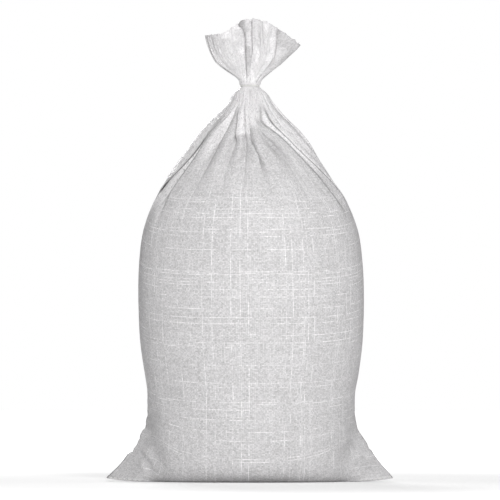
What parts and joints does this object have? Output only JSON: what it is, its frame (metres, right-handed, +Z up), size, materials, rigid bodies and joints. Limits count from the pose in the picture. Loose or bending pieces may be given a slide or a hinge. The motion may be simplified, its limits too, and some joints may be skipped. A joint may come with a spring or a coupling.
{
  "type": "bag of rice",
  "caption": "Tall woven sack of rice standing on its sewn base, gathered and tied with twine at the neck, with a ruffled mouth above and pointed bottom corners.",
  "frame": {"origin": "on the floor, under the middle of the sack", "axes": "+Z up along the sack, front of the sack towards -Y, +X to the right as seen from the front"},
  "size_m": [0.526, 0.3078, 0.8537],
  "materials": {
    "woven_cloth": "white woven polypropylene tape, slightly glossy",
    "twine": "white twisted polypropylene twine"
  },
  "bodies": {
    "root": {"sack": "woven_cloth", "neck_tie": "twine"}
  },
  "joints": []
}
